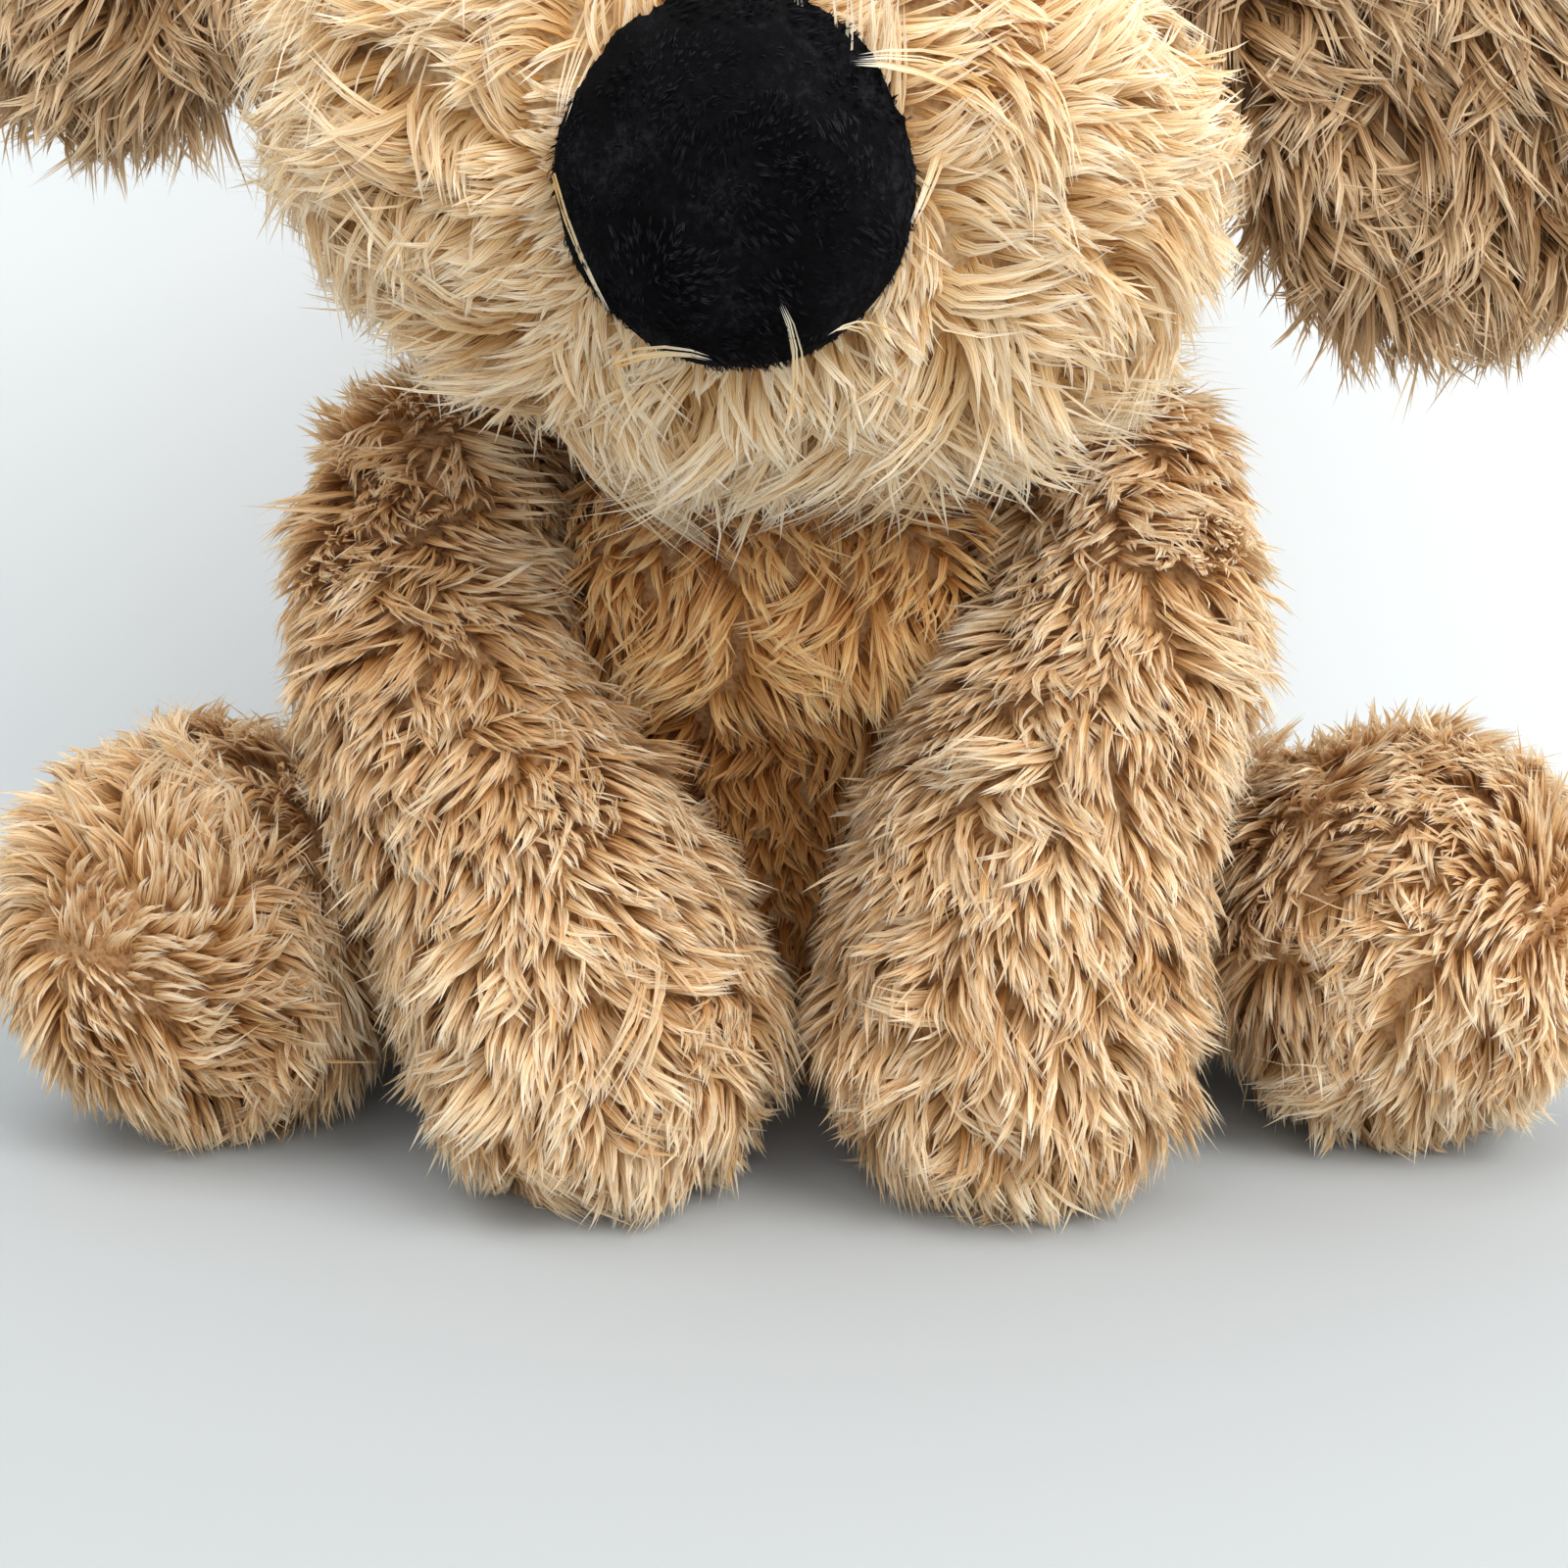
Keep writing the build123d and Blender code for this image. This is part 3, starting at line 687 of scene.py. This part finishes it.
def build_inside():
    """Real finish or a soft piece for everything inside the covers."""
    bodies = frame["record"]["behaviour"]["bodies"]
    home = {node: body for body, nodes in bodies.items() for node in nodes}
    for node, piece in list(frame["nodes"].items()):
        if "stuffing" in node:
            inner_wad(node, home[node], FIBRE_FILL, 2.6, 0.9)
        elif "beans" in node or "bag" in node:
            inner_wad(node, home[node], BAG_CLOTH, 1.4, 0.5)
        elif "pellets" in node:
            light_pellets(node, home[node])
        elif "thread" in node:
            dress(piece, SEAM_THREAD)
        elif "eye" in node:
            dress(piece, WASHER_WHITE if "washer" in node else EYE_BLACK)


# --- how the pile lies --------------------------------------------------------------------
# A comb gives the way the pile lies, and a length or tone its size or shade, at points of a skin
# with their normals.
NOSE = on_head(1, -79.5, -29)


def comb_down(points, normals):
    """Torso: down, easing outwards."""
    down = -np.ones(len(points))
    return np.stack([points[:, 0] / 90.0, (points[:, 1] - 25.0) / 120.0, down], axis=1)


def comb_face(points, normals):
    """Muzzle: away from the nose, heavier towards the chin."""
    away = unit(points - (NOSE + np.array((0, 6.0, 4.0))))
    return away + np.array((0, 0.15, -0.30))


def comb_head(points, normals):
    """Head: off the crown, parted over the brow."""
    rel = points - HEAD
    ones = np.ones(len(rel))
    return np.stack([np.tanh(rel[:, 0] / 10.0) * 0.7, 0.25 * ones, -ones], axis=1)


def comb_nose(points, normals):
    """Fleece: brushed down."""
    return np.tile((0.3, 0.0, -1.0), (len(points), 1))


def comb_from(start, end):
    """Limb: along its line and off its front ridge."""
    a, b = np.array(start, float), np.array(end, float)
    line = unit((b - a)[None, :])

    def comb(points, normals):
        rel = points - a
        off = rel - dot(rel, line) * line
        ridge = np.stack([off[:, 0], np.zeros(len(off)), np.zeros(len(off))], axis=1) / 22.0
        return line + 0.75 * ridge + np.array((0, 0, -0.2))

    return comb


def comb_leg(hip, foot):
    """Leg: towards the foot and down, turning in a whorl over the sole."""
    h, f = np.array(hip, float), np.array(foot, float)
    line = unit((f - h)[None, :])

    def comb(points, normals):
        rel = points - f
        ahead = dot(rel, line)
        off = rel - ahead * line
        sole = smoothstep(0.0, 20.0, ahead)
        whorl = unit(off) + 0.6 * np.cross(line, unit(off))
        along = 0.6 * line + np.array((0, 0, -0.7))
        return (1 - sole) * along + sole * (whorl + np.array((0, 0, -0.35)))

    return comb


def comb_ear(root):
    """Ear: away from its root and down."""
    r = np.array(root, float)

    def comb(points, normals):
        return 0.6 * unit(points - r) + np.array((0, 0, -0.8))

    return comb


def steady(value):
    """The same number everywhere."""
    return lambda points, normals: np.full(len(points), float(value))


def muzzle_length(points, normals):
    """Short round the nose, long at the chin and cheeks."""
    away = np.linalg.norm(points - NOSE, axis=1)
    chin = smoothstep(142.0, 122.0, points[:, 2])
    return 9.0 + 5.0 * smoothstep(20.0, 46.0, away) + 8.0 * chin


def muzzle_tone(points, normals):
    """A little paler at the chin."""
    return 0.46 + 0.3 * smoothstep(152.0, 128.0, points[:, 2])


def torso_tone_painted_shade(points, normals):
    """Darker low on the front: painted shade on the belly, which lies in shadow under the chest.
    """
    front = smoothstep(10.0, -20.0, points[:, 1]) * smoothstep(84.0, 72.0, points[:, 2])
    return 0.78 - 0.95 * front


def torso_length(points, normals):
    """Long over the chest, so that it hangs over the belly, and short below that."""
    front = smoothstep(10.0, -20.0, points[:, 1])
    chest = smoothstep(78.0, 88.0, points[:, 2]) * smoothstep(118.0, 104.0, points[:, 2])
    return 12.0 + front * (2.5 * chest - 1.5 * smoothstep(84.0, 74.0, points[:, 2]))


def front_thick(points):
    """Pile counted denser on the side that faces forward."""
    return 1.0 + 0.35 * smoothstep(30.0, -20.0, points[:, 1])


def worn_thick(worn):
    """Pile count that thins out at a worn patch."""
    patch = np.array(worn, float)
    return lambda points: front_thick(points) * (
        1 - 0.5 * smoothstep(11.0, 4.0, np.linalg.norm(points - patch, axis=1)))


def arm_tone(shoulder, paw):
    """Tone of an arm's pile, changing from the shoulder to the paw."""
    return lambda points, normals: (
        shoulder + (paw - shoulder) * smoothstep(84.0, 46.0, points[:, 2]))


def sole_length(worn):
    """Shorter pile over the sole, and shortest in its worn patch."""
    patch = np.array(worn, float)

    def length(points, normals):
        face = smoothstep(-0.2, -0.8, normals[:, 1])
        near = smoothstep(14.0, 5.0, np.linalg.norm(points - patch, axis=1))
        return 12.5 - 0.5 * face - 4.5 * near

    return length


# --- build --------------------------------------------------------------------------------
def furry(node, skin_name, back, sink=3.6, voxel=2.6, smooth=4):
    """Skin for one cover, standing for it."""
    skin = soft_skin(node, skin_name, sink, voxel, smooth)
    finish_piece(skin, back)
    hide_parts(node)
    return skin


def build_body():
    """Torso, tail, arms and legs."""
    torso = furry("torso_cover", "torso_skin", TAN_BACK)
    pile = Pile(comb_down, torso_length, torso_tone_painted_shade, thick=front_thick)
    limbs = ("left_leg_cover", "right_leg_cover", "left_arm_cover", "right_arm_cover")
    grow("torso_fur", "torso", torso, 9600, pile, CHEST, ("head_cover", *limbs), 11)
    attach(torso, "torso")
    tail = furry("tail_cover", "tail_skin", TAN_BACK, 3.6, 1.8)
    pile = Pile(comb_from((0, 87, 42), (6, 111, 56)), steady(13), steady(0.45))
    grow("tail_fur", "tail", tail, 1200, pile, TAN, ("torso_cover",), 81)
    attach(tail, "tail")
    # shoulder and paw; hip, foot and the worn patch of the sole
    arms = {"left": ((55, -25, 111), (36, -53, 28)), "right": ((-57, -25, 111), (-30, -53, 28))}
    legs = {"left": ((73, 20, 33), (107, -26, 35.5), (106, -60, 52)),
            "right": ((-73, 20, 33), (-100, -23, 35.5), (-112, -54, 42))}
    # painted light and shade: the arm on the dog's left, towards the window, gets paler pile at
    # the shoulder, and the arm on the dog's right gets its darkest pile at the shoulder as painted
    # shade under the muzzle
    tones = {"left": arm_tone(0.66, 0.5), "right": arm_tone(0.34, 0.58)}
    for number, side in enumerate(("left", "right")):
        arm = furry(f"{side}_arm_cover", f"{side}_arm_skin", TAN_BACK)
        pile = Pile(comb_from(*arms[side]), steady(12.5), tones[side], lift=(58, 24),
                    thick=front_thick)
        grow(f"{side}_arm_fur", f"{side}_arm", arm, 6200, pile, TAN,
             ("torso_cover",), 41 + 10 * number)
        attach(arm, f"{side}_arm")
        leg = furry(f"{side}_leg_cover", f"{side}_leg_skin", TAN_BACK)
        hip, foot, worn = legs[side]
        # painted light and shade: the leg on the dog's left, towards the window, gets paler pile
        # than the leg on the right
        tone = steady(0.56 if side == "left" else 0.44)
        pile = Pile(comb_leg(hip, foot), sole_length(worn), tone, lift=(54, 20),
                    thick=worn_thick(worn))
        grow(f"{side}_leg_fur", f"{side}_leg", leg, 6400, pile, TAN,
             ("torso_cover",), 61 + 10 * number)
        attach(leg, f"{side}_leg")


def build_head():
    """Head ball, muzzle and ears."""
    head = furry("head_cover", "head_skin", TAN_BACK)
    pile = Pile(comb_head, steady(14), steady(0.5))
    grow("head_fur", "head", head, 6200, pile, TAN,
         ("muzzle_cover", "torso_cover"), 21)
    muzzle = furry("muzzle_cover", "muzzle_skin", CREAM_BACK)
    pile = Pile(comb_face, muzzle_length, muzzle_tone, lift=(50, 16), gather=0.4, wander=26.0,
                bend=0.8, steps=FINE_STEPS, thick=front_thick)
    grow("muzzle_fur", "head", muzzle, 7700, pile, CREAM,
         ("head_cover", "nose_cover"), 31)
    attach(head, "head")
    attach(muzzle, "head")
    for side, sign in (("left", 1), ("right", -1)):
        root = on_head(sign * 50, -12, 52)
        for layer, other in (("front", "back"), ("back", "front")):
            node = f"{side}_ear_{layer}"
            skin = furry(node, f"{node}_skin", BROWN_BACK, 1.0, 1.8, 4)
            pile = Pile(comb_ear(root), steady(17), steady(0.5), lift=(36, 4))
            seed = 91 + 4 * (sign + 1) + (layer == "front")
            grow(f"{node}_fur", f"{side}_ear", skin, 2000, pile, BROWN,
                 (f"{side}_ear_{other}",), seed)
            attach(skin, f"{side}_ear")


NOSE_RADIUS = 22.5   # of the circle over which the strays lie
NOSE_RISE = 13.0     # of its middle in front of its rim
NOSE_RIM = -80.8     # its rim in the head's own Y


def over_nose(x, z):
    """A point just in front of the nose, given across and up from its middle."""
    dome = math.sqrt(max(0.0, 1 - (x * x + z * z) / NOSE_RADIUS ** 2))
    return on_head(1 + x, NOSE_RIM - NOSE_RISE * dome, -29 + z)


def stray_locks():
    """Pale locks of the muzzle that lie over the rim of the nose."""
    rng = np.random.default_rng(7)
    # root, middle and tip across and up from the nose's middle, number of fibres, scatter
    runs = (((28, 14), (20, 17), (12, 13), 9, 1.2), ((12, -27), (12, -19), (8, -15), 4, 0.5),
            ((-15, 21), (-21, 12), (-21, 2), 6, 0.9), ((24, 10), (23.5, 4), (21.5, -3), 4, 0.4),
            ((-22, -4), (-18.5, -12), (-13, -18.5), 5, 0.5),
            ((-12, -24), (-6, -21), (0, -22), 4, 0.5),
            ((20, -16), (16.5, -14.5), (14, -17), 3, 0.5))
    rings = [[] for _ in FINE_STEPS]
    for first, middle, last, number, apart in runs:
        for _ in range(number):
            shift = rng.normal(0, apart, 2)
            ends = [over_nose(*(np.array(place) + shift * share)) for place, share in
                    ((first, 1.6), (middle, 1.0), (last, 0.5))]
            for ring, s in zip(rings, FINE_STEPS):
                ring.append((1 - s) ** 2 * ends[0] + 2 * s * (1 - s) * ends[1] + s * s * ends[2])
    rings = [np.array(ring) for ring in rings]
    total = len(rings[0])
    facing = np.tile((0.0, -1.0, 0.0), (total, 1)) + 0.2 * rng.normal(size=(total, 3))
    girth = np.full(total, 0.3) * rng.uniform(0.6, 1.3, total)
    column = np.floor(rng.uniform(0.7, 0.999, total) * COLUMNS)
    write_fibres("nose_rim_strays", "head", rings, FINE_STEPS, unit(facing), girth, column,
                 CREAM)


def build_nose():
    """Fleece nose: the dome, evened and slightly lumpy."""
    nose = outer_shell("nose_cover", "nose_fleece")
    even_out(nose, 0.7, 5)
    cloud_lumps(nose, "nose_lumps", 0.014, 2.4, 0.6)
    apply_all(nose)
    finish_piece(nose, FLEECE)
    pile = Pile(comb_nose, steady(2.3), steady(0.4), width=0.13, lift=(62, 18), droop=0.0,
                gather=0.2, tuft=0.02, wander=60.0, bend=0.3, spread=0.35)
    grow("nose_fuzz", "head", nose, 3000, pile, FUZZ, ("muzzle_cover",), 101)
    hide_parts("nose_cover")
    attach(nose, "head")
    stray_locks()


# --- studio, in metres --------------------------------------------------------------------
PAPER_FRONT = -1.2    # edge of the level paper towards the camera
PAPER_BACK = 0.142    # where it turns up
PAPER_RISE = (0, 0.02, 1.6)
SWEEP = 0.02          # of the rounded turn


def paper_painted_light():
    """Matt studio paper, painted lighter from the line where it starts to rise, as painted light
    on the backdrop.
    """
    made, nodes, links, shader = new_material("studio_paper")
    where = nodes.new("ShaderNodeTexCoord")
    split = nodes.new("ShaderNodeSeparateXYZ")
    links.new(where.outputs["Object"], split.inputs[0])
    # painted light: the rising paper is paler than the level paper in front of it
    ramp = ramp_node(nodes, [(0.10, srgb(168, 172, 174)), (0.125, srgb(206, 210, 212))])
    links.new(split.outputs[1], ramp.inputs[0])
    links.new(ramp.outputs[0], shader.inputs["Base Color"])
    shader.inputs["Roughness"].default_value = 0.8
    return made


def build_studio():
    """Pale paper that turns up close behind, soft window light from the dog's left."""
    deselect()
    bpy.ops.mesh.primitive_plane_add(size=1, location=(0, 0, 0))
    floor = bpy.context.object
    floor.name = "studio_floor"
    floor.scale = (3.0, 1.0, 1.0)
    bpy.ops.object.transform_apply(location=True, rotation=True, scale=True)
    for vertex in floor.data.vertices:
        vertex.co.y = PAPER_FRONT if vertex.co.y < 0 else PAPER_BACK
    bpy.ops.object.mode_set(mode="EDIT")
    bpy.ops.mesh.select_mode(type="EDGE")
    bpy.ops.mesh.select_all(action="DESELECT")
    bpy.ops.object.mode_set(mode="OBJECT")
    for edge in floor.data.edges:
        a, b = (floor.data.vertices[i].co for i in edge.vertices)
        edge.select = a.y > 0 and b.y > 0
    bpy.ops.object.mode_set(mode="EDIT")
    bpy.ops.mesh.extrude_region_move(TRANSFORM_OT_translate={"value": PAPER_RISE})
    bpy.ops.object.mode_set(mode="OBJECT")
    bevel = floor.modifiers.new("sweep", "BEVEL")
    bevel.width = SWEEP
    bevel.segments = 8
    bevel.limit_method = "ANGLE"
    apply_all(floor)
    finish_piece(floor, paper_painted_light())

    world = bpy.data.worlds.new("studio_air")
    bpy.context.scene.world = world
    world.use_nodes = True
    air = world.node_tree.nodes["Background"]
    air.inputs[0].default_value = (0.93, 0.97, 1.0, 1.0)
    air.inputs[1].default_value = 0.78

    aim = Vector((0, 0, 0.1))
    for name, place, size, power in (
            ("window", (0.75, -0.75, 0.95), 0.8, 17.5),
            ("ceiling", (-0.35, -0.25, 1.15), 1.0, 8.0),
            ("reflector", (0.1, -1.1, 0.3), 0.9, 4.5)):
        lamp = bpy.data.lights.new(name, "AREA")
        lamp.shape = "SQUARE"
        lamp.size = size
        lamp.energy = power
        lamp.color = (1.0, 0.985, 0.96)
        holder = bpy.data.objects.new(name, lamp)
        holder.location = place
        holder.rotation_euler = (aim - Vector(place)).to_track_quat("-Z", "Y").to_euler()
        bpy.context.scene.collection.objects.link(holder)

    lens = bpy.data.cameras.new("camera")
    lens.sensor_width = 36.0
    lens.lens = 18.0 / math.tan(math.radians(25.0))
    camera = bpy.data.objects.new("camera", lens)
    camera.location = (0.0, -0.315, 0.112)
    camera.rotation_euler = (math.radians(80.0), 0, 0)
    bpy.context.scene.collection.objects.link(camera)
    bpy.context.scene.camera = camera
    bpy.context.scene.view_settings.view_transform = "Standard"


build_inside()
build_body()
build_head()
build_nose()
build_studio()
